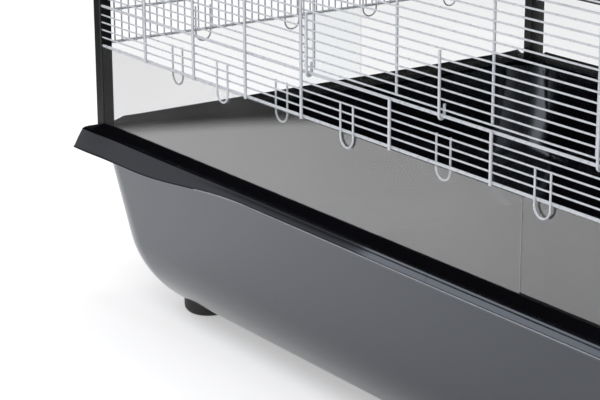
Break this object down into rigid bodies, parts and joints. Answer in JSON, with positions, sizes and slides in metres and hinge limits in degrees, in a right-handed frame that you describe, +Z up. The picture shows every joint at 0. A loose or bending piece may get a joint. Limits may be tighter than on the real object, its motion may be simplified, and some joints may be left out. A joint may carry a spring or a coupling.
{
  "type": "rabbit cage",
  "caption": "Indoor rabbit cage with a deep plastic tub, wire walls on square posts, clear litter guards, a drop-down front door and two lifting roof lids.",
  "frame": {"origin": "on the floor, under the centre of the cage", "axes": "+X along the front towards the right, +Y from the front to the back, +Z up"},
  "size_m": [1.162, 0.618, 0.51],
  "materials": {
    "tub_plastic": "gloss moulded polypropylene",
    "rim_plastic": "gloss moulded ABS",
    "foot_rubber": "matte moulded",
    "post_steel": "satin powder coat on square tube",
    "guard_sheet": "clear acrylic sheet",
    "clip_plastic": "smoked moulded",
    "wire_zinc": "light zinc-grey coated wire",
    "bolt_steel": "zinc plated",
    "fitting_plastic": "satin moulded"
  },
  "bodies": {
    "cage": {"tub": "tub_plastic", "rim_left": "rim_plastic", "rim_right": "rim_plastic", "foot_front_left": "foot_rubber", "foot_front_right": "foot_rubber", "foot_rear_left": "foot_rubber", "foot_rear_right": "foot_rubber", "post_front_left": "post_steel", "post_front_right": "post_steel", "post_rear_left": "post_steel", "post_rear_right": "post_steel", "front_sill_grille": "wire_zinc", "front_left_grille": "wire_zinc", "front_right_grille": "wire_zinc", "front_header_wires": "wire_zinc", "rear_grille": "wire_zinc", "left_grille": "wire_zinc", "right_grille": "wire_zinc", "front_guard_loops": "wire_zinc", "rear_guard_loops": "wire_zinc", "left_guard_loops": "wire_zinc", "right_guard_loops": "wire_zinc", "front_guard_left": "guard_sheet", "front_guard_right": "guard_sheet", "rear_guard_left": "guard_sheet", "rear_guard_right": "guard_sheet", "left_guard_front": "guard_sheet", "left_guard_rear": "guard_sheet", "right_guard_front": "guard_sheet", "right_guard_rear": "guard_sheet", "guard_clips": "clip_plastic", "top_rail_front": "fitting_plastic", "top_rail_rear": "fitting_plastic", "top_rail_left": "fitting_plastic", "top_rail_right": "fitting_plastic", "corner_cap_front_left": "fitting_plastic", "corner_cap_front_right": "fitting_plastic", "corner_cap_rear_left": "fitting_plastic", "corner_cap_rear_right": "fitting_plastic", "roof_bar": "fitting_plastic", "roof_hinge_clips": "fitting_plastic", "catch_pins": "bolt_steel"},
    "door": {"door_grille": "wire_zinc", "door_hinge_hooks": "wire_zinc", "door_stop_wires": "wire_zinc", "latch_housing_left": "fitting_plastic", "latch_housing_right": "fitting_plastic"},
    "latch_bolt_left": {"latch_bolt_left": "bolt_steel"},
    "latch_bolt_right": {"latch_bolt_right": "bolt_steel"},
    "roof_lid_left": {"roof_lid_left": "wire_zinc", "lid_grip_left": "fitting_plastic"},
    "roof_lid_right": {"roof_lid_right": "wire_zinc", "lid_grip_right": "fitting_plastic"},
    "roof_catch_left": {"roof_catch_left": "fitting_plastic"},
    "roof_catch_right": {"roof_catch_right": "fitting_plastic"}
  },
  "joints": [
    {"name": "door_hinge", "type": "hinge", "parent": "cage", "child": "door", "pos_m": [0, -0.2865, 0.3103], "axis": [1, 0, 0], "range_deg": [0, 100]},
    {"name": "latch_slide_left", "type": "slide", "parent": "door", "child": "latch_bolt_left", "axis": [-1, 0, 0], "range_m": [0, 0.01]},
    {"name": "latch_slide_right", "type": "slide", "parent": "door", "child": "latch_bolt_right", "axis": [1, 0, 0], "range_m": [0, 0.01]},
    {"name": "lid_hinge_left", "type": "hinge", "parent": "cage", "child": "roof_lid_left", "pos_m": [-0.012, 0, 0.5035], "axis": [0, 1, 0], "range_deg": [0, 90]},
    {"name": "lid_hinge_right", "type": "hinge", "parent": "cage", "child": "roof_lid_right", "pos_m": [0.012, 0, 0.5035], "axis": [0, -1, 0], "range_deg": [0, 90]},
    {"name": "catch_turn_left", "type": "hinge", "parent": "cage", "child": "roof_catch_left", "pos_m": [-0.5598, 0.13, 0.502], "axis": [0, 0, -1], "range_deg": [0, 90]},
    {"name": "catch_turn_right", "type": "hinge", "parent": "cage", "child": "roof_catch_right", "pos_m": [0.5598, 0.13, 0.502], "axis": [0, 0, 1], "range_deg": [0, 90]}
  ]
}
